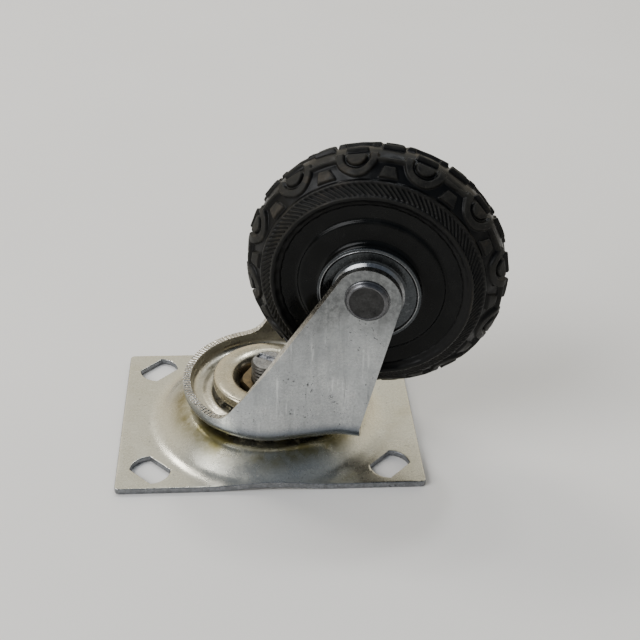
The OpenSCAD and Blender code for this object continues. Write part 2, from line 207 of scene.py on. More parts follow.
def zinc(name, light, dark, stain, rough=(0.32, 0.55), metal=0.9, cloud=120, contrast=0.5,
         scratch=0.25, pits=0.35, bump_mm=0.02, grain=(1, 1, 1), painted_shade_heights=None, dark_olive_ring=None,
         teeth=0.0, streaks=0.0, painted_bend_light=False):
    """Plated steel: soft tone changes, fine grain, scratches, dark pits and stains.

    painted_shade_heights is three heights in metres for painted shade that darkens the metal
    towards the top: where a soft layer starts, where a stronger, patchy layer starts and where
    both are full. dark_olive_ring is a darker olive ring, as around() takes it, and its colour.
    teeth is the relief of a sheared edge, streaks the strength of dark runs down the metal, and
    painted_bend_light paints a dark bluish band of painted reflection and a bright painted
    highlight line on the bend at the foot of the fork's wall.
    """
    mat, shader = material(name)
    shader.inputs["Metallic"].default_value = metal
    clouds = remap(mat, noise(mat, cloud, 6, 0.65), 0.30, 0.70, 0.5 - contrast / 2, 0.5 + contrast / 2)
    base = mix(mat, clouds, dark, light)
    speckle = remap(mat, noise(mat, 1500, 4, 0.75), 0.38, 0.62, 0.0, 0.55)
    base = mix(mat, speckle, base, tuple(c * 0.75 for c in dark))
    blots = remap(mat, noise(mat, cloud * 0.4, 7, 0.7, distortion=0.5), 0.54, 0.84, 0.0, 0.75)
    base = mix(mat, blots, base, stain)
    lines = noise(mat, 800, 4, 0.65, grain)
    scratches = remap(mat, lines, 0.60, 0.68, 0.0, scratch)
    base = mix(mat, scratches, base, tuple(min(1.0, c * 1.45) for c in light))
    dark_lines = remap(mat, noise(mat, 620, 4, 0.7, grain, 0.2), 0.62, 0.70, 0.0, scratch)
    base = mix(mat, dark_lines, base, tuple(c * 0.4 for c in dark))
    clumps = remap(mat, noise(mat, 170, 3, 0.6), 0.50, 0.62)
    spots = remap(mat, noise(mat, 1250, 2, 0.5), 0.63, 0.69, 0.0, pits)
    spots = maths(mat, "MULTIPLY", spots, clumps)
    base = mix(mat, spots, base, tuple(c * 0.22 for c in dark))
    if streaks:
        runs = remap(mat, noise(mat, 300, 5, 0.65, (1, 1, 0.14), 0.3), 0.46, 0.68, 0.0, streaks)
        base = mix(mat, runs, base, tuple(c * 0.45 for c in dark))
    # Painted light on the bend at the foot of the fork's wall: a dark bluish band of painted reflection
    # over a bright painted highlight line.
    if painted_bend_light:
        rise = remap(mat, height_of(mat), 0.0128, 0.0142)
        shade = maths(mat, "MULTIPLY", rise, remap(mat, height_of(mat), 0.0150, 0.0185, 0.75, 0.0))
        base = mix(mat, shade, base, (0.11, 0.13, 0.165))
        bend_highlight = remap(mat, height_of(mat), 0.0116, 0.0132, 0.75, 0.0)
        base = mix(mat, bend_highlight, base, (0.95, 0.97, 1.0))
    # Painted shade: the metal gets darker towards the top, in a soft layer and a stronger, patchy one.
    if painted_shade_heights:
        uneven = remap(mat, noise(mat, 55, 5, 0.6), 0.3, 0.7, -0.006, 0.006)
        level = maths(mat, "ADD", height_of(mat), uneven)
        soft_tone = remap(mat, level, painted_shade_heights[0], painted_shade_heights[2], 0.0, 0.52)
        base = mix(mat, soft_tone, base, tuple(c * 0.42 for c in dark))
        painted_shade = remap(mat, level, painted_shade_heights[1], painted_shade_heights[2], 0.0, 0.74)
        shade_patches = remap(mat, noise(mat, 520, 6, 0.7), 0.38, 0.62, 0.55, 1.0)
        painted_shade = maths(mat, "MULTIPLY", painted_shade, shade_patches)
        base = mix(mat, painted_shade, base, tuple(c * 0.16 for c in dark))
    # A darker olive ring round the swivel axis, on the plate under the fork's cup.
    if dark_olive_ring:
        ring, color = dark_olive_ring
        patchy = remap(mat, noise(mat, 75, 5, 0.65), 0.35, 0.65, 0.35, 1.0)
        band = maths(mat, "MULTIPLY", around(mat, *ring), patchy)
        base = mix(mat, band, base, color)
    link(mat, base, shader.inputs["Base Color"])
    tone = remap(mat, noise(mat, cloud * 1.7, 2, 0.5), 0.3, 0.7, rough[0], rough[1])
    tone = maths(mat, "ADD", tone, maths(mat, "MULTIPLY", spots, 0.3))
    link(mat, tone, shader.inputs["Roughness"])
    relief = maths(mat, "ADD", maths(mat, "MULTIPLY", lines, 0.5), noise(mat, 560, 5, 0.65))
    relief = maths(mat, "SUBTRACT", relief, maths(mat, "MULTIPLY", spots, 0.8))
    if teeth:
        relief = maths(mat, "ADD", relief, maths(mat, "MULTIPLY", sheared(mat), teeth))
    bump(mat, shader, relief, bump_mm * MM, 1.0)
    return mat


# Fork's outside, with painted shade darker towards the top and painted light on its foot bend.
fork_metal = zinc(
    "fork_zinc_look", (0.6, 0.615, 0.61), (0.42, 0.44, 0.45), (0.3, 0.305, 0.29),
    rough=(0.2, 0.36), metal=0.95, cloud=75, contrast=0.8, scratch=0.45, pits=0.9, bump_mm=0.025,
    grain=(1, 1, 0.1), painted_shade_heights=(0.022, 0.047, 0.063), streaks=0.3, painted_bend_light=True,
)
# Fork's inside: a warmer tan copy of the fork's zinc, a painted reflection of warm light.
cup_warm_reflection_metal = zinc(
    "fork_inside_painted_warm_look", (0.56, 0.53, 0.44), (0.42, 0.395, 0.32), (0.24, 0.21, 0.14),
    rough=(0.24, 0.4), metal=0.94, contrast=0.4, scratch=0.2, pits=0.5, grain=(1, 1, 0.3),
)
# Fork's cut edges, with painted shade that makes them darker towards the top.
cut_metal = zinc(
    "fork_cut_edge_look", (0.74, 0.71, 0.63), (0.36, 0.345, 0.31), (0.22, 0.21, 0.18),
    rough=(0.18, 0.4), metal=0.94, cloud=900, contrast=1.0, scratch=0.5, pits=0.5, bump_mm=0.14,
    grain=(1, 1, 0.2), painted_shade_heights=(0.03, 0.046, 0.062), teeth=2.5,
)
plate_metal = zinc(
    "plate_zinc_look", (0.61, 0.595, 0.51), (0.51, 0.495, 0.42), (0.4, 0.375, 0.27),
    rough=(0.24, 0.32), metal=0.96, cloud=90, contrast=0.35, scratch=0.14, pits=0.5,
    bump_mm=0.012, grain=(0.3, 1, 1), dark_olive_ring=((0.019, 0.028, 0.006), (0.15, 0.13, 0.05)),
)
# Plate's rolled edges: darker, bluer zinc, partly duller cut metal, partly painted shade in place of a
# darker reflection.
edge_metal = zinc(
    "plate_edge_look", (0.3, 0.31, 0.325), (0.17, 0.175, 0.18), (0.14, 0.14, 0.13),
    rough=(0.25, 0.42), metal=0.92, cloud=500, contrast=0.8, scratch=0.4, pits=0.8, bump_mm=0.04,
)
keeper_metal = zinc(
    "keeper_zinc_look", (0.56, 0.515, 0.4), (0.42, 0.38, 0.285), (0.34, 0.29, 0.17),
    rough=(0.22, 0.36), metal=0.94, cloud=170, contrast=0.4, scratch=0.2, pits=0.4, bump_mm=0.012,
)
# Hub discs and the rivet washer: dark zinc, partly their own tone, partly painted shade in place of a
# dark reflection.
disc_metal = zinc(
    "disc_zinc_look", (0.075, 0.08, 0.085), (0.038, 0.042, 0.045), (0.035, 0.035, 0.035),
    rough=(0.16, 0.3), metal=0.95, cloud=160, contrast=0.6, scratch=0.5, pits=0.4, bump_mm=0.01,
)
# Painted highlight: a lighter copy of the disc's zinc for the rings where its sheet bends.
disc_painted_highlight = zinc(
    "disc_painted_highlight_look", (0.3, 0.305, 0.31), (0.17, 0.175, 0.18), (0.12, 0.12, 0.12),
    rough=(0.16, 0.3), metal=0.95, cloud=260, contrast=0.8, scratch=0.5, pits=0.4, bump_mm=0.014,
)
# Rivet: dark steel, partly its own tone, partly painted shade; its end face is painted darker still
# than its lit rim.
rivet_metal = zinc(
    "rivet_steel_look", (0.15, 0.15, 0.155), (0.085, 0.085, 0.09), (0.06, 0.06, 0.06),
    rough=(0.22, 0.38), cloud=300, contrast=0.6, pits=0.5, bump_mm=0.015,
)
rivet_face_painted_shade = zinc(
    "rivet_face_look", (0.05, 0.05, 0.05), (0.024, 0.024, 0.024), (0.018, 0.018, 0.018),
    rough=(0.34, 0.5), metal=0.8, cloud=320, contrast=0.9, pits=0.5,
)
nut_metal = zinc(
    "nut_zinc_look", (0.22, 0.155, 0.075), (0.1, 0.075, 0.042), (0.035, 0.027, 0.018),
    rough=(0.28, 0.5), metal=0.85, cloud=300, contrast=0.6, scratch=0.2, pits=0.4,
)
pin_metal = zinc(
    "kingpin_steel_look", (0.1, 0.095, 0.085), (0.045, 0.042, 0.037), (0.02, 0.017, 0.012),
    rough=(0.34, 0.5), cloud=330, contrast=0.6, pits=0.5,
)
pin_end_metal = zinc(
    "kingpin_end_look", (0.38, 0.38, 0.385), (0.16, 0.16, 0.165), (0.06, 0.055, 0.05),
    rough=(0.22, 0.42), cloud=420, contrast=0.9, scratch=0.3, pits=0.8, bump_mm=0.03,
)
ball_metal = zinc(
    "ball_steel_look", (0.4, 0.39, 0.36), (0.24, 0.23, 0.2), (0.12, 0.1, 0.06), rough=(0.12, 0.3),
    metal=1.0, cloud=500, scratch=0.1, pits=0.1, bump_mm=0.004,
)
sleeve_metal = zinc(
    "sleeve_steel_look", (0.36, 0.36, 0.36), (0.24, 0.24, 0.24), (0.14, 0.13, 0.11),
    rough=(0.25, 0.4), metal=0.95, cloud=300, scratch=0.2, pits=0.2, bump_mm=0.01,
)
cage_metal = zinc(
    "cage_brass_look", (0.5, 0.38, 0.2), (0.32, 0.24, 0.12), (0.14, 0.11, 0.06), rough=(0.3, 0.5),
    cloud=400, scratch=0.2, pits=0.2, bump_mm=0.01,
)


def rubber():
    mat, shader = material("tyre_rubber_look")
    # The lighter mask holds dust on the tread's tops and painted highlights on the side band's ribs and
    # bead.
    raised = attribute(mat, "raised")
    dust = remap(mat, noise(mat, 260, 6, 0.65), 0.30, 0.70, 0.25, 1.0)
    fine = remap(mat, noise(mat, 2200, 3, 0.6), 0.35, 0.7, 0.55, 1.0)
    cover = maths(mat, "MULTIPLY", raised, maths(mat, "MULTIPLY", dust, fine))
    base = mix(mat, cover, (0.0020, 0.0021, 0.0021), (0.024, 0.0228, 0.019))
    shader.inputs["Specular IOR Level"].default_value = 0.16
    scuffs = remap(mat, noise(mat, 420, 5, 0.7, (1, 1, 1), 0.6), 0.63, 0.70, 0.0, 0.35)
    base = mix(mat, maths(mat, "MULTIPLY", scuffs, raised), base, (0.10, 0.094, 0.08))
    earth = remap(mat, noise(mat, 62, 5, 0.65, (1, 1, 1), 0.4), 0.56, 0.72, 0.0, 0.6)
    base = mix(mat, maths(mat, "MULTIPLY", earth, raised), base, (0.062, 0.050, 0.036))
    link(mat, base, shader.inputs["Base Color"])
    link(mat, remap(mat, cover, 0.0, 0.8, 0.36, 0.72), shader.inputs["Roughness"])
    relief = maths(mat, "ADD", noise(mat, 1500, 4, 0.6), noise(mat, 340, 3, 0.5))
    bump(mat, shader, relief, 0.05 * MM, 0.8)
    return mat


def plastic():
    mat, shader = material("core_plastic_look")
    soft_tone = remap(mat, noise(mat, 130, 6, 0.62), 0.35, 0.72)
    base = mix(mat, soft_tone, (0.0018, 0.0021, 0.0021), (0.0045, 0.0048, 0.0046))
    shader.inputs["Specular IOR Level"].default_value = 0.11
    rubs = remap(mat, noise(mat, 700, 5, 0.7, (1, 1, 0.25)), 0.62, 0.72, 0.0, 0.4)
    base = mix(mat, rubs, base, (0.016, 0.016, 0.015))
    link(mat, base, shader.inputs["Base Color"])
    link(mat, remap(mat, soft_tone, 0.0, 1.0, 0.16, 0.30), shader.inputs["Roughness"])
    relief = maths(mat, "ADD", noise(mat, 420, 4, 0.6), maths(mat, "MULTIPLY", rubs, 0.6))
    bump(mat, shader, relief, 0.035 * MM, 0.7)
    return mat


tyre_rubber = rubber()
core_plastic = plastic()

# ---------------------------------------------------------------- mesh helpers


def place(name, verts, faces, mat, body, nodes, matrix=HOME, sharp=40, kinds=None, others=()):
    """A mesh piece from millimetre points, in place, riding on its body."""
    mesh = bpy.data.meshes.new(name)
    points = [matrix @ (Vector(v) * MM) for v in verts]
    mesh.from_pydata([tuple(p) for p in points], [], faces)
    if kinds:
        mesh.polygons.foreach_set("material_index", kinds)
    work = bmesh.new()
    work.from_mesh(mesh)
    bmesh.ops.remove_doubles(work, verts=work.verts, dist=1e-6)
    bmesh.ops.recalc_face_normals(work, faces=work.faces)
    work.to_mesh(mesh)
    work.free()
    for finish in (mat, *others):
        mesh.materials.append(finish)
    mesh.polygons.foreach_set("use_smooth", [True] * len(mesh.polygons))
    mesh.set_sharp_from_angle(angle=math.radians(sharp))
    obj = bpy.data.objects.new(name, mesh)
    bpy.context.scene.collection.objects.link(obj)
    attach(obj, body)
    if nodes:
        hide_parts(*nodes)
    return obj


def softened(profile, radius, steps=4, closed=True):
    """The profile with each corner rounded."""
    out = []
    count = len(profile)
    for i, point in enumerate(profile):
        here = Vector(point)
        if not closed and i in (0, count - 1):
            out.append(tuple(here))
            continue
        before = Vector(profile[i - 1]) - here
        after = Vector(profile[(i + 1) % count]) - here
        cut = min(radius, before.length * 0.45, after.length * 0.45)
        a = here + before.normalized() * cut
        b = here + after.normalized() * cut
        for k in range(steps + 1):
            t = k / steps
            out.append(tuple(a.lerp(here, t).lerp(here.lerp(b, t), t)))
    return out


def turned(name, profile, mat, body, nodes, matrix=HOME, radius=0.25, closed=True,
           segments=192, sharp=40, other=None, is_other=None):
    """A turned piece from its (radius, height) section. Part of it may take another look, such as a
    painted highlight or painted shade.
    """
    section = softened(profile, radius, closed=closed)
    rows = len(section)
    verts = []
    for i in range(segments):
        a = 2 * math.pi * i / segments
        for r, h in section:
            verts.append((r * math.cos(a), r * math.sin(a), h))
    faces, kinds = [], []
    last = rows if closed else rows - 1
    for i in range(segments):
        j = (i + 1) % segments
        for k in range(last):
            m = (k + 1) % rows
            faces.append((i * rows + k, i * rows + m, j * rows + m, j * rows + k))
            kinds.append(int(bool(is_other and is_other(*section[k]))))
    others = (other,) if other else ()
    return place(name, verts, faces, mat, body, nodes, matrix, sharp, kinds, others)


# ---------------------------------------------------------------- tyre
TYRE_R = (tyre_high[2] - tyre_low[2]) / 2
CROWN_R = 10.2
CROWN_END = math.radians(50)
REPEATS = 12
COLUMNS = 88 * REPEATS
PITCH = 19.8
RIBS = 120
RIB_SLANT = 4.4
TREAD_PHASE = math.radians(10.2)
SHOULDER = CROWN_R * CROWN_END
BAND_START = SHOULDER + 3.95
BAND_WIDTH = 4.1
BAND_END = BAND_START + BAND_WIDTH
BAND_R = 31
RIB_DEPTH = 0.75
TREAD_DEPTH = 1.15
CENTRE_DEPTH = 1.1
# Section from the crown to the seat: (distance run, radius, side)
section_knots = [(CROWN_R * a, TYRE_R - CROWN_R + CROWN_R * math.cos(a), CROWN_R * math.sin(a))
                 for a in np.linspace(0, CROWN_END, 26)]
section_knots += [(BAND_START, 32.65, 10.4), (BAND_END, 29.5, 12.85), (BAND_END + 0.6, 29.0, 13.15),
                  (BAND_END + 1.3, 28.4, 13.05), (BAND_END + 2.2, 27.6, 12.5),
                  (BAND_END + 3.8, 26.2, 12.02)]
knots = np.array(section_knots)


def smoothstep(value, low, high):
    t = np.clip((value - low) / (high - low), 0, 1)
    return t * t * (3 - 2 * t)


def inside(distance, edge=0.42):
    """1 well inside a shape, 0 outside, from its signed distance."""
    return 1 - smoothstep(distance, -edge, 0)


def slab(value, low, high):
    return np.maximum(low - value, value - high)


def tread(u, v):
    """How far the tread stands up, 0 to 1, at u round the tyre and v from the crown."""
    wobble = 0.06 * np.sin(0.9 * u + 0.7 * v) + 0.05 * np.sin(1.1 * v - 0.6 * u + 1.0)
    u = (u + PITCH / 2) % PITCH - PITCH / 2
    centre = 4.8
    across = np.where(v > centre, np.hypot(u, v - centre), np.abs(u)) + wobble
    loop = np.maximum(np.abs(across - 4.95) - 1.45, slab(v, 2.9, 99))
    d_block = np.maximum(across - 3.0, slab(v, 3.8, 99))
    bridge = np.maximum(slab(v, 4.5 + wobble, 6.2 + wobble), 5.2 - np.abs(u))
    gap = PITCH / 2 - np.abs(u)
    block = np.maximum(slab(v, 7.4, 11.1), gap - (1.75 + (v - 7.4) * 0.40) + wobble)
    bar = np.maximum(np.abs(u) - 3.4, slab(v, 0.55, 2.1)) + wobble * 0.5
    rounded = [inside(s, 0.62) for s in (loop, bridge)]
    blocks = [inside(s) for s in (d_block, block, bar)]
    return np.maximum.reduce(rounded + blocks)


def build_tyre():
    half_rows = np.concatenate([
        np.linspace(0, BAND_START - 0.4, 56),
        np.linspace(BAND_START - 0.15, BAND_END + 0.1, 15),
        [BAND_END + 0.3, BAND_END + 0.6, BAND_END + 0.95, BAND_END + 1.3, BAND_END + 1.75,
         BAND_END + 2.2, BAND_END + 3.0, BAND_END + 3.8],
    ])
    rows = np.concatenate([-half_rows[:0:-1], half_rows])
    sides = np.sign(rows)
    away = np.abs(rows)
    radius = np.interp(away, knots[:, 0], knots[:, 1])
    side = np.interp(away, knots[:, 0], knots[:, 2]) * sides
    tangent_r = np.gradient(radius)
    tangent_s = np.gradient(side)
    size = np.hypot(tangent_r, tangent_s)
    normal_r = tangent_s / size
    normal_s = -tangent_r / size
    angles = np.arange(COLUMNS) * 2 * np.pi / COLUMNS
    turn, run = np.meshgrid(angles, rows, indexing="ij")
    u = (turn + TREAD_PHASE) / (2 * np.pi) * REPEATS * PITCH
    v = np.abs(run)
    u = np.where(run > 0, u + PITCH / 2, u)
    up = tread(u, v)
    open_zone = 1 - smoothstep(v, 11.6, 12.5)
    centre_floor = 1 - smoothstep(v, 0.3, 0.6)
    depth = (TREAD_DEPTH - 0.35 * smoothstep(v, 6.5, 11.5)) * open_zone * (1 - up)
    depth = np.maximum(depth, CENTRE_DEPTH * centre_floor)
    band = smoothstep(v, BAND_START, BAND_START + 0.5)
    band = band * (1 - smoothstep(v, BAND_END - 0.5, BAND_END - 0.1))
    slant = (v - BAND_START) * RIB_SLANT / BAND_WIDTH / BAND_R * RIBS
    wave = 0.5 + 0.5 * np.cos((turn + TREAD_PHASE) * RIBS - np.where(run > 0, -slant, slant))
    depth = depth + band * RIB_DEPTH * (1 - wave ** 0.8)
    bead = np.exp(-((v - BAND_END - 0.25) / 0.25) ** 2)
    rim = np.exp(-((v - BAND_START + 0.1) / 0.3) ** 2) * 0.08
    unevenness = 0.06 * np.sin(turn * 37 + run * 0.8) * np.sin(turn * 11 - run * 0.5)
    depth = depth - 0.12 * bead - rim + unevenness + 0.14
    depth = np.maximum(depth, 0)
    r = radius[None, :] - depth * normal_r[None, :]
    s = side[None, :] - depth * normal_s[None, :]
    x = r * np.cos(turn)
    y = r * np.sin(turn)
    verts = np.stack([x, y, s], axis=-1).reshape(-1, 3)
    count = len(rows)
    faces = []
    for i in range(COLUMNS):
        j = (i + 1) % COLUMNS
        for k in range(count - 1):
            faces.append((i * count + k, i * count + k + 1, j * count + k + 1, j * count + k))
        faces.append((i * count + count - 1, i * count, j * count, j * count + count - 1))
    mesh = bpy.data.meshes.new("tyre_tread")
    world = np.array(AXLE)
    world_verts = (verts * MM) @ world[:3, :3].T + world[:3, 3]
    mesh.from_pydata(world_verts.tolist(), [], faces)
    # Lighter mask: dust on the tread's tops, and painted highlights on the side band's rib crests, the
    # bead and the band's rim line.
    dust_and_highlight_mask = np.where(v < BAND_START, up, 0.8 * wave * band)
    dust_and_highlight_mask = np.where(v > BAND_END - 0.3, 0.0, dust_and_highlight_mask)
    dust_and_highlight_mask = np.maximum(dust_and_highlight_mask, bead)
    dust_and_highlight_mask = np.maximum(dust_and_highlight_mask, 0.9 * np.exp(-((v - BAND_START + 0.1) / 0.25) ** 2))
    layer = mesh.attributes.new("raised", "FLOAT", "POINT")
    layer.data.foreach_set("value", dust_and_highlight_mask.reshape(-1).astype(np.float32))
    mesh.materials.append(tyre_rubber)
    work = bmesh.new()
    work.from_mesh(mesh)
    bmesh.ops.recalc_face_normals(work, faces=work.faces)
    work.to_mesh(mesh)
    work.free()
    mesh.polygons.foreach_set("use_smooth", [True] * len(mesh.polygons))
    obj = bpy.data.objects.new("tyre_tread", mesh)
    bpy.context.scene.collection.objects.link(obj)
    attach(obj, "wheel")
    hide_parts("tyre")


build_tyre()

# ---------------------------------------------------------------- wheel core and hub
core_half = [
    (11.7, 14.2), (14.0, 14.2), (14.6, 13.8), (15.0, 13.0), (15.8, 12.5), (17.5, 12.35),
    (20.5, 12.2), (21.2, 11.95), (21.6, 11.45), (22.3, 11.15), (24.0, 11.45), (25.6, 11.8),
    (26.6, 12.0),
]
turned("wheel_core_moulding", core_half + [(r, -s) for r, s in reversed(core_half)], core_plastic,
       "wheel", ["wheel_core"], AXLE, 0.6)

DISC_FACE = 17.08
disc_top = [
    (4.05, 0), (8.6, 0), (9.3, -0.2), (10.25, -1.15), (10.9, -1.45), (13.6, -1.17), (13.9, -0.9),
    (14.15, -0.76), (14.3, -0.88), (14.75, -0.86), (14.98, -0.88), (15.16, -1.25),
]
disc_under = [(14.8, -1.85), (14.5, -1.7), (14.1, -1.66), (13.6, -2.0), (10.9, -2.3),
              (10.0, -2.1), (9.0, -1.05), (8.5, -0.88), (4.05, -0.88)]
disc_section = disc_top + disc_under


def disc_highlight_rings(r, h):
    """The rings of a hub disc, where its sheet bends, which get a painted highlight."""
    return 8.9 < r < 10.3 or 14.02 < r < 14.3


turned("hub_disc_near_pressed", [(r, -(h + DISC_FACE)) for r, h in disc_section], disc_metal,
       "fork", ["hub_disc_near"], AXLE, 0.16, other=disc_painted_highlight,
       is_other=disc_highlight_rings)
turned("hub_disc_far_pressed", [(r, h + DISC_FACE) for r, h in disc_section], disc_metal,
       "fork", ["hub_disc_far"], AXLE, 0.16, other=disc_painted_highlight,
       is_other=disc_highlight_rings)

EAR_Y = 19.4
RIVET_FACE_R = 5.0
rivet_section = [
    (0, -20.86), (4.8, -20.84), (RIVET_FACE_R, -20.9), (5.2, -21.02), (5.45, -21.0),
    (5.75, -20.8), (6.1, -20.35), (6.25, -19.95), (6.5, -19.8), (6.54, -EAR_Y), (3.95, -EAR_Y),
    (3.95, 20.6), (5.6, 20.6), (5.4, 21.4), (4.3, 22.2), (2.7, 22.68), (0, 22.78),
]
# The rivet's end face takes the darker painted shade.
turned("axle_rivet_turned", rivet_section, rivet_metal, "fork", ["axle_rivet"],
       AXLE, 0.1, closed=False, other=rivet_face_painted_shade,
       is_other=lambda r, h: h < -20.5 and r < RIVET_FACE_R)

# ---------------------------------------------------------------- keeper
KEEPER_R = keeper_high[0]
KEEPER_TOP = keeper_high[2]
keeper_section = [
    (5.65, 9.02), (11.2, 9.02), (11.75, 9.6), (11.75, 16.7), (13.0, 16.75), (15.6, 16.7),
    (16.3, 16.3), (16.5, 15.75), (KEEPER_R - 0.25, 15.72), (KEEPER_R - 0.03, 15.95),
    (KEEPER_R - 0.03, 17.9), (KEEPER_R - 0.25, 18.6), (KEEPER_R - 0.9, 19.0),
    (KEEPER_R - 2.4, KEEPER_TOP - 0.14), (KEEPER_R - 4.4, KEEPER_TOP - 0.3), (12.2, 18.7),
    (11.2, 18.2), (10.5, 17.3), (10.1, 16.1), (9.95, 14.6), (9.95, 11.9), (9.2, 11.02),
    (5.65, 11.02),
]
turned("keeper_cap", keeper_section, keeper_metal, "plate", ["keeper"], HOME, 0.5)

# ---------------------------------------------------------------- kingpin
PIN_R = 5.5
PIN_TOP = pin_high[2]
THREAD_PITCH = 1.45
THREAD_DEPTH = 0.42


def build_kingpin():
    segments = 96
    heights = np.concatenate([
        [2.6, 2.62, 2.8, 3.4, 6.9, 7.0, 7.0, 11.5],
        np.arange(12.0, PIN_TOP - 0.75, THREAD_PITCH / 12),
        [PIN_TOP - 0.6, PIN_TOP - 0.35, PIN_TOP - 0.12, PIN_TOP - 0.02],
    ])
    radii = [0, 7.6, 8.3, 8.48, 8.48, 8.4, PIN_R, PIN_R]
    verts = []
    for i in range(segments):
        a = 2 * math.pi * i / segments
        for k, h in enumerate(heights):
            top = PIN_TOP - h
            if k < len(radii):
                r = radii[k]
            elif top > 0.74:
                phase = (h / THREAD_PITCH - i / segments) % 1
                r = PIN_R - THREAD_DEPTH * abs(2 * phase - 1) ** 1.2
            else:
                r = PIN_R - 0.62 + 0.35 * min(1, top / 0.6)
            verts.append((r * math.cos(a), r * math.sin(a), h))
    rows = len(heights)
    # End face: rings inwards with a V-shaped dent across it
    rings = [4.6, 4.2, 3.6, 3.0, 2.4, 1.8, 1.2, 0.6, 0.0]
    caps = []
    for i in range(segments):
        a = 2 * math.pi * i / segments
        for r in rings:
            x, y = r * math.cos(a), r * math.sin(a)
            dent = max(0.0, 0.9 - abs(x * 0.5 + y * 0.866 - 1.0) * 0.75)
            caps.append((x, y, PIN_TOP - 0.02 - dent * (r < 4.4)))
    offset = len(verts)
    verts += caps
    faces, kinds = [], []
    for i in range(segments):
        j = (i + 1) % segments
        for k in range(rows - 1):
            faces.append((i * rows + k, j * rows + k, j * rows + k + 1, i * rows + k + 1))
            kinds.append(0)
        n = len(rings)
        faces.append((i * rows + rows - 1, j * rows + rows - 1, offset + j * n, offset + i * n))
        for k in range(n - 1):
            a, b = offset + i * n + k, offset + j * n + k
            faces.append((a, b, b + 1, a + 1))
        kinds += [1] * n
    place("kingpin_stud", verts, faces, pin_metal, "plate", ["kingpin"], HOME, 35,
          kinds, (pin_end_metal,))


build_kingpin()

# ---------------------------------------------------------------- fork
FORK_T = 2.3
FORK_Z = 10.8
CUP_R = 27.4
BEND_R = 5.0
RIM_Z = 17.6
TAPER = math.radians(21)
EAR_R = 9.8
EASE_R = 8.0
TRAIL = axle.xy.length / MM
AXLE_Z = axle.z / MM
BACK_LEAN = math.radians(56.8)
FRONT_LEAN = math.radians(12.4)
HOLE_R = 12.2
LOWER_R = 19.0
UPPER_R = 14.3
# Ball races: height of the balls' middles, groove radius and half the groove's width
LOWER_Z = 9.9
LOWER_GROOVE = 2.43
LOWER_HALF = 2.26
UPPER_Z = 14.585
UPPER_GROOVE = 2.035
UPPER_HALF = 1.38
# Ridge over the lower race in the fork's floor, and bulge under it in the plate
RIDGE_HALF = 2.6
RIDGE_H = 0.72
BULGE_HALF = 2.64
BULGE_R = 3.93
# Steps along the straight rim, and where the floor's round rings end
RIM_STEPS = 36
FLOOR_EDGE = 21.6
arc_run = CUP_R * TAPER
line_x = CUP_R * math.sin(TAPER)
line_y = CUP_R * math.cos(TAPER)
ease_x = line_x + (line_y - EAR_Y - EASE_R) / math.tan(TAPER) + EASE_R / math.sin(TAPER)
line_run = (ease_x - EASE_R * math.sin(TAPER) - line_x) / math.cos(TAPER)
ear_start = arc_run + line_run + EASE_R * TAPER
back_run = -CUP_R * math.pi / 2
ear_run = ear_start + TRAIL - ease_x
WALL_Z = FORK_Z + BEND_R


def wall_plan(run):
    """Outer face in plan: x, distance from the middle, and the way inwards."""
    if run <= arc_run:
        a = run / CUP_R
        return CUP_R * math.sin(a), CUP_R * math.cos(a), -math.sin(a), -math.cos(a)
    if run <= arc_run + line_run:
        d = run - arc_run
        return (line_x + d * math.cos(TAPER), line_y - d * math.sin(TAPER),
                -math.sin(TAPER), -math.cos(TAPER))
    if run <= ear_start:
        a = (ear_start - run) / EASE_R
        return (ease_x - EASE_R * math.sin(a), EAR_Y + EASE_R * (1 - math.cos(a)),
                -math.sin(a), -math.cos(a))
    return ease_x + run - ear_start, EAR_Y, 0.0, -1.0


def wall_point(run, inset, z):
    x, y, ix, iy = wall_plan(run)
    return x + inset * ix, -y - inset * iy, z


def mix_points(a, b, t):
    return tuple(p + (q - p) * t for p, q in zip(a, b))


def wall_outline():
    """Top edge from the middle of the back to the front of the ear, as (run, height)."""
    lean = math.atan(math.tan(BACK_LEAN) * 0.93)
    left = (ear_run - EAR_R * math.sin(lean), AXLE_Z + EAR_R * math.cos(lean))
    foot = left[0] - (left[1] - RIM_Z) / math.tan(lean)
    start = (foot + 4 * math.cos(lean), RIM_Z + 4 * math.sin(lean))
    end = (foot - 5, RIM_Z)
    points = [(back_run + (end[0] - back_run) * k / RIM_STEPS, RIM_Z)
              for k in range(RIM_STEPS + 1)]
    for k in range(1, 11):
        t = k / 10
        points.append(mix_points(mix_points(end, (foot, RIM_Z), t),
                                 mix_points((foot, RIM_Z), start, t), t))
    points += [mix_points(start, left, k / 30) for k in range(1, 31)]
    first, last = math.pi / 2 + lean, -FRONT_LEAN
    for k in range(1, 41):
        a = first + (last - first) * k / 40
        points.append((ear_run + EAR_R * math.cos(a), AXLE_Z + EAR_R * math.sin(a)))
    return points


def floor_heights(rho):
    """Top and underside of the fork's floor at a distance from the kingpin."""
    top = FORK_Z + FORK_T
    low = FORK_Z
    d = abs(rho - LOWER_R)
    if d < RIDGE_HALF:
        top += RIDGE_H * (0.5 + 0.5 * math.cos(math.pi * d / RIDGE_HALF)) ** 0.8
    if d < LOWER_HALF:
        low = max(low, LOWER_Z + math.sqrt(LOWER_GROOVE ** 2 - d * d))
    e = abs(rho - UPPER_R)
    if e < UPPER_HALF:
        top = min(top, UPPER_Z - math.sqrt(UPPER_GROOVE ** 2 - e * e))
    return top, low


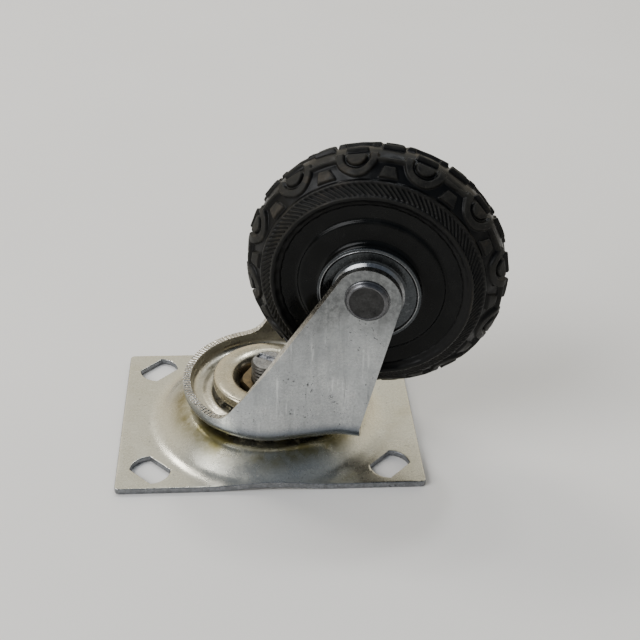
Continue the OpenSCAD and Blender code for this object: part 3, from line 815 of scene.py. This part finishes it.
def build_fork():
    tops = wall_outline()
    stations = len(tops) - 1
    rim_index = RIM_STEPS
    front_run = tops[-1][0] - (tops[-1][1] - WALL_Z) * math.tan(FRONT_LEAN)
    feet = [tops[k][0] if k <= rim_index else
            tops[rim_index][0] + (front_run - tops[rim_index][0]) * (k - rim_index)
            / (stations - rim_index) for k in range(stations + 1)]
    bend_rows = 9
    wall_rows = 26

    def line(k, depth):
        points = [wall_point(feet[k], BEND_R, FORK_Z + depth)]
        for j in range(1, bend_rows + 1):
            a = math.pi / 2 * j / bend_rows
            r = BEND_R - depth
            points.append(wall_point(feet[k], BEND_R - r * math.sin(a), WALL_Z - r * math.cos(a)))
        for j in range(1, wall_rows + 1):
            t = j / wall_rows
            run = feet[k] + (tops[k][0] - feet[k]) * t
            points.append(wall_point(run, depth, WALL_Z + (tops[k][1] - WALL_Z) * t))
        return points

    columns = [(k, 1) for k in range(stations, 0, -1)] + [(k, -1) for k in range(stations + 1)]
    walls = []
    for k, sign in columns:
        walls.append([[(x, y * sign, z) for x, y, z in line(k, depth)] for depth in (0, FORK_T)])
    # Columns across the open front, along the scooped edge
    corner = wall_plan(front_run)[0]
    scoop = 26.0
    scoop_back = 6
    front_columns = 39
    strip_y = -wall_point(front_run, BEND_R, 0)[1]
    fronts = []
    for k in range(1, front_columns + 1):
        y = strip_y - 2 * strip_y * k / (front_columns + 1)
        x = corner - scoop_back + scoop - math.sqrt(scoop ** 2 - y ** 2)
        ease = min(1.0, (strip_y - abs(y)) / 2.5)
        edge_x = wall_point(front_run, BEND_R, 0)[0]
        fronts.append((edge_x + (x - edge_x) * (ease * ease * (3 - 2 * ease)), y))
    rings = [HOLE_R, HOLE_R + 0.35] + list(np.linspace(12.9, 15.75, 12))
    rings += list(np.linspace(16.3, FLOOR_EDGE, 22))
    outer_rows = 5
    verts, top_ids, low_ids = [], [], []

    def column(edge):
        ex, ey = edge
        reach = math.hypot(ex, ey)
        cx, cy = ex / reach, ey / reach
        column_tops, column_lows = [], []
        radii = rings + [FLOOR_EDGE + (reach - FLOOR_EDGE) * k / outer_rows
                         for k in range(1, outer_rows + 1)]
        for rho in radii:
            top, low = floor_heights(rho)
            column_tops.append((cx * rho, cy * rho, top))
            column_lows.append((cx * rho, cy * rho, low))
        return column_tops, column_lows

    # The front columns run back from the far corner to the near one
    edges = [(w[0][0][0], w[0][0][1]) for w in walls]
    far_first = walls[-1][0][0][1] > 0
    ordered = sorted(fronts, key=lambda p: -p[1] if far_first else p[1])
    edges += ordered
    for edge in edges:
        column_tops, column_lows = column(edge)
        top_ids.append(list(range(len(verts), len(verts) + len(column_tops))))
        verts.extend(column_tops)
        low_ids.append(list(range(len(verts), len(verts) + len(column_lows))))
        verts.extend(column_lows)
    outer_faces, inner_faces, cut_faces = [], [], []
    total = len(edges)
    rows = len(top_ids[0])
    for c in range(total):
        d = (c + 1) % total
        for r in range(rows - 1):
            inner_faces.append((top_ids[c][r], top_ids[c][r + 1], top_ids[d][r + 1], top_ids[d][r]))
            outer_faces.append((low_ids[c][r], low_ids[d][r], low_ids[d][r + 1], low_ids[c][r + 1]))
        cut_faces.append((top_ids[c][0], top_ids[d][0], low_ids[d][0], low_ids[c][0]))
        if c >= len(walls) - 1:
            cut_faces.append((top_ids[c][-1], low_ids[c][-1], low_ids[d][-1], top_ids[d][-1]))
    wall_in, wall_out = [], []
    for wall in walls:
        wall_out.append(list(range(len(verts), len(verts) + len(wall[0]))))
        verts.extend(wall[0])
        wall_in.append(list(range(len(verts), len(verts) + len(wall[1]))))
        verts.extend(wall[1])
    height = len(wall_in[0])
    for c in range(len(walls) - 1):
        d = c + 1
        for r in range(height - 1):
            inner_faces.append((wall_in[c][r], wall_in[c][r + 1], wall_in[d][r + 1], wall_in[d][r]))
            outer_faces.append((wall_out[c][r], wall_out[d][r], wall_out[d][r + 1], wall_out[c][r + 1]))
        cut_faces.append((wall_in[c][-1], wall_out[c][-1], wall_out[d][-1], wall_in[d][-1]))
    for c in (0, len(walls) - 1):
        for r in range(height - 1):
            cut_faces.append((wall_in[c][r], wall_out[c][r], wall_out[c][r + 1], wall_in[c][r + 1]))
    faces = outer_faces + inner_faces + cut_faces
    # Outside, inside with its painted warm reflection, and cut edges get separate looks.
    kinds = [0] * len(outer_faces) + [1] * len(inner_faces) + [2] * len(cut_faces)
    obj = place("fork_pressing", verts, faces, fork_metal, "fork", ["fork"], FORK, 50,
                kinds, (cup_warm_reflection_metal, cut_metal))
    edge = obj.modifiers.new("rolled_edge", "BEVEL")
    edge.width = 0.28 * MM
    edge.segments = 3
    edge.limit_method = "ANGLE"
    edge.angle_limit = math.radians(55)


build_fork()

# ---------------------------------------------------------------- mounting plate
PLATE_T = 2.0
DOME_FOOT = 39.5
DOME_TOP = 25.0
DOME_Z = plate_high[2]
DOME_SLOPE = math.radians(35)
DOME_FOOT_R = 9
DOME_TOP_R = 5
PLATE_CORNER_R = 1.5
SLOT_X, SLOT_Y = 74.5 / 2, 52.5 / 2
SLOT_R = 12.6 / 2
SLOT_FLAT = 8.3 / 2


def dome(rho, lift):
    """Height of the sheet's face that lies lift above its underside."""
    foot = DOME_FOOT_R + PLATE_T - lift
    top = DOME_TOP_R - PLATE_T + lift
    foot_end = DOME_FOOT - foot * math.sin(DOME_SLOPE)
    top_end = DOME_TOP + top * math.sin(DOME_SLOPE)
    high = DOME_Z - PLATE_T + lift
    if rho >= DOME_FOOT:
        return lift
    if rho >= foot_end:
        return lift + foot - math.sqrt(foot ** 2 - (DOME_FOOT - rho) ** 2)
    if rho <= DOME_TOP:
        return high
    if rho <= top_end:
        return high - top + math.sqrt(top ** 2 - (rho - DOME_TOP) ** 2)
    low_z = lift + foot * (1 - math.cos(DOME_SLOPE))
    high_z = high - top * (1 - math.cos(DOME_SLOPE))
    return low_z + (high_z - low_z) * (foot_end - rho) / (foot_end - top_end)


def plate_faces(x, y):
    rho = math.hypot(x, y)
    top, low = dome(rho, PLATE_T), dome(rho, 0)
    d = abs(rho - LOWER_R)
    if d < LOWER_HALF:
        top = LOWER_Z - math.sqrt(LOWER_GROOVE ** 2 - d * d)
    if d < BULGE_HALF:
        low = min(low, LOWER_Z - math.sqrt(BULGE_R ** 2 - d * d))
    return top, low


def slot_loop(cx, cy, turn, inset):
    r, f = SLOT_R + inset, SLOT_FLAT + inset
    limit = math.asin(f / r)
    loop = []
    for start in (-limit, math.pi - limit):
        for k in range(15):
            a = start + 2 * limit * k / 14
            loop.append((r * math.cos(a), r * math.sin(a)))
    loop = softened(loop, 0.25, 3)
    c, s = math.cos(turn), math.sin(turn)
    return [(cx + c * x - s * y, cy + s * x + c * y) for x, y in loop]


def plate_loop(inset):
    half_x, half_y = plate_high[0] - inset, plate_high[1] - inset
    r = PLATE_CORNER_R - inset
    loop = []
    for quarter, (sx, sy) in enumerate(((1, 1), (-1, 1), (-1, -1), (1, -1))):
        for k in range(9):
            a = math.pi / 2 * (quarter + k / 8)
            loop.append((sx * (half_x - r) + r * math.cos(a), sy * (half_y - r) + r * math.sin(a)))
    return loop


def build_plate():
    roll = 0.28
    loops = [plate_loop(roll)]
    for sx in (-1, 1):
        for sy in (-1, 1):
            loops.append(slot_loop(sx * SLOT_X, sy * SLOT_Y, -sx * sy * math.pi / 4, roll))
    work = bmesh.new()
    edges = []
    for loop in loops:
        ring = [work.verts.new((x, y, 0)) for x, y in loop]
        for i, vert in enumerate(ring):
            edges.append(work.edges.new((vert, ring[(i + 1) % len(ring)])))
    bmesh.ops.triangle_fill(work, use_beauty=True, edges=edges)
    step = 0.9
    for axis, reach in ((0, plate_high[0]), (1, plate_high[1])):
        count = int(2 * reach / step)
        for i in range(1, count):
            point = [0, 0, 0]
            normal = [0, 0, 0]
            point[axis] = -reach + 2 * reach * i / count
            normal[axis] = 1
            geom = work.verts[:] + work.edges[:] + work.faces[:]
            bmesh.ops.bisect_plane(work, geom=geom, dist=0.002, plane_co=point, plane_no=normal)
    work.verts.ensure_lookup_table()
    work.verts.index_update()
    flat = [(vert.co.x, vert.co.y) for vert in work.verts]
    count = len(flat)
    heights = [plate_faces(x, y) for x, y in flat]
    verts = [(x, y, h[0]) for (x, y), h in zip(flat, heights)]
    verts += [(x, y, h[1]) for (x, y), h in zip(flat, heights)]
    faces = []
    for face in work.faces:
        ids = [vert.index for vert in face.verts]
        faces.append(tuple(ids))
        faces.append(tuple(count + i for i in reversed(ids)))
    outward = {}
    borders = []
    for edge in work.edges:
        if len(edge.link_faces) != 1:
            continue
        a, b = edge.verts
        middle = (a.co + b.co) / 2
        along = (b.co - a.co).normalized()
        side = Vector((along.y, -along.x, 0))
        inner = edge.link_faces[0].calc_center_median() - middle
        if side.dot(inner) > 0:
            side = -side
        borders.append((a.index, b.index))
        weight = (b.co - a.co).length
        for vert in (a, b):
            outward.setdefault(vert.index, Vector((0, 0, 0)))
            outward[vert.index] += side * weight
    levels = ((0.12, -0.04), (0.22, -0.12), (roll, -roll))
    chains = {}
    for index, direction in outward.items():
        direction = direction.normalized()
        x, y = flat[index]
        top, low = heights[index]
        chain = [index]
        for out, drop in levels:
            chain.append(len(verts))
            verts.append((x + direction.x * out, y + direction.y * out, top + drop))
        for out, drop in reversed(levels):
            chain.append(len(verts))
            verts.append((x + direction.x * out, y + direction.y * out, low - drop))
        chain.append(count + index)
        chains[index] = chain
    kinds = [0] * len(faces)
    for a, b in borders:
        for k in range(len(chains[a]) - 1):
            faces.append((chains[a][k], chains[a][k + 1], chains[b][k + 1], chains[b][k]))
            kinds.append(0 if k == 0 else 1)
    work.free()
    place("mounting_plate_pressing", verts, faces, plate_metal, "plate", ["mounting_plate"],
          HOME, 60, kinds, (edge_metal,))


build_plate()

# ---------------------------------------------------------------- carried-over nodes
carried = {
    "kingpin_washer": nut_metal,
    "kingpin_nut": nut_metal,
    "lower_balls": ball_metal,
    "upper_balls": ball_metal,
    "rivet_washer": disc_metal,
    "axle_sleeve": sleeve_metal,
    "bearing_liner": sleeve_metal,
    "bearing_rollers": sleeve_metal,
    "bearing_cage": cage_metal,
}
for node, mat in carried.items():
    for slot in frame["nodes"][node].material_slots:
        slot.material = mat
for node in ("kingpin_nut", "kingpin_washer", "rivet_washer"):
    edge = frame["nodes"][node].modifiers.new("edge", "BEVEL")
    edge.width = 0.15 * MM
    edge.segments = 2
    edge.limit_method = "ANGLE"
    edge.angle_limit = math.radians(50)

# ---------------------------------------------------------------- floor
floor_mat, floor_shader = material("floor_look")
floor_shader.inputs["Roughness"].default_value = 0.6
mottle = remap(floor_mat, noise(floor_mat, 9, 3, 0.5), 0.3, 0.7)
link(floor_mat, mix(floor_mat, mottle, (0.81, 0.785, 0.745), (0.83, 0.805, 0.765)),
     floor_shader.inputs["Base Color"])
bpy.ops.mesh.primitive_plane_add(size=8, location=(0, 0, -0.0001))
ground = bpy.context.object
ground.name = "ground"
ground.data.materials.append(floor_mat)

# ---------------------------------------------------------------- light
world = bpy.data.worlds.new("studio")
bpy.context.scene.world = world
world.use_nodes = True
tree = world.node_tree
background = tree.nodes["Background"]
texture = tree.nodes.new("ShaderNodeTexCoord")
split = tree.nodes.new("ShaderNodeSeparateXYZ")
tree.links.new(texture.outputs["Generated"], split.inputs[0])


def sky(stops):
    """Light by height above the floor."""
    ramp = tree.nodes.new("ShaderNodeValToRGB")
    tree.links.new(split.outputs["Z"], ramp.inputs[0])
    for index, (at, color) in enumerate(stops):
        elements = ramp.color_ramp.elements
        stop = elements[index] if index < 2 else elements.new(at)
        stop.position = at
        stop.color = (*color, 1)
    return ramp.outputs[0]


wall_side = sky(((0.0, (0.62, 0.54, 0.42)), (0.25, (0.90, 0.83, 0.68)), (0.6, (0.88, 0.84, 0.73)),
                 (0.84, (0.26, 0.28, 0.31)), (1.0, (0.10, 0.12, 0.16))))
room_side = sky(((0.0, (0.32, 0.31, 0.29)), (0.25, (0.28, 0.29, 0.30)), (0.6, (0.20, 0.23, 0.27)),
                 (0.84, (0.09, 0.11, 0.15)), (1.0, (0.10, 0.12, 0.16))))
facing = tree.nodes.new("ShaderNodeMapRange")
facing.interpolation_type = "SMOOTHSTEP"
facing.inputs["From Min"].default_value = -0.30
facing.inputs["From Max"].default_value = 0.50
tree.links.new(split.outputs["Y"], facing.inputs["Value"])
room = tree.nodes.new("ShaderNodeMix")
room.data_type = "RGBA"
tree.links.new(facing.outputs["Result"], room.inputs[0])
tree.links.new(room_side, room.inputs[6])
tree.links.new(wall_side, room.inputs[7])
tree.links.new(room.outputs[2], background.inputs[0])
background.inputs["Strength"].default_value = 1.45


def area(name, place_at, aim, size, power, color):
    data = bpy.data.lights.new(name, "AREA")
    data.shape = "RECTANGLE"
    data.size, data.size_y = size
    data.energy = power
    data.color = color
    lamp = bpy.data.objects.new(name, data)
    lamp.location = place_at
    lamp.rotation_euler = (Vector(aim) - Vector(place_at)).to_track_quat("-Z", "Y").to_euler()
    bpy.context.scene.collection.objects.link(lamp)


area("key", (-2.2, -1.1, 1.9), (0, 0, 0.0), (1.9, 1.9), 86.0, (0.97, 0.975, 0.985))
area("ceiling_left", (-0.55, 0.70, 1.15), (0, 0, 0.02), (0.34, 0.16), 4.0, (1.0, 0.97, 0.92))
area("ceiling_middle", (0.02, 0.62, 1.25), (0, 0, 0.02), (0.20, 0.06), 1.4, (0.93, 0.97, 1.0))
area("ceiling_right", (0.36, 0.50, 1.15), (0, 0, 0.02), (0.12, 0.12), 2.6, (0.93, 0.97, 1.0))

# ---------------------------------------------------------------- camera
CAMERA_AT = Vector((-0.00746, -0.29182, 0.23185))
YAW, PITCH_DOWN, ROLL = 0.0808, 0.5823, 0.0282
# Focal length over the width of the frame
FOCAL = 1.7484375
SENSOR = 36
ahead = Vector((math.sin(YAW) * math.cos(PITCH_DOWN), math.cos(YAW) * math.cos(PITCH_DOWN),
                -math.sin(PITCH_DOWN)))
right = Vector((math.cos(YAW), -math.sin(YAW), 0))
up_dir = right.cross(ahead)
rolled_right = right * math.cos(ROLL) + up_dir * math.sin(ROLL)
rolled_up = up_dir * math.cos(ROLL) - right * math.sin(ROLL)
camera_data = bpy.data.cameras.new("camera")
camera_data.sensor_width = SENSOR
camera_data.lens = FOCAL * SENSOR
camera_data.clip_start = 0.01
camera = bpy.data.objects.new("camera", camera_data)
camera.matrix_world = Matrix((
    (rolled_right.x, rolled_up.x, -ahead.x, CAMERA_AT.x),
    (rolled_right.y, rolled_up.y, -ahead.y, CAMERA_AT.y),
    (rolled_right.z, rolled_up.z, -ahead.z, CAMERA_AT.z),
    (0, 0, 0, 1),
))
bpy.context.scene.collection.objects.link(camera)
bpy.context.scene.camera = camera

bpy.context.view_layer.update()
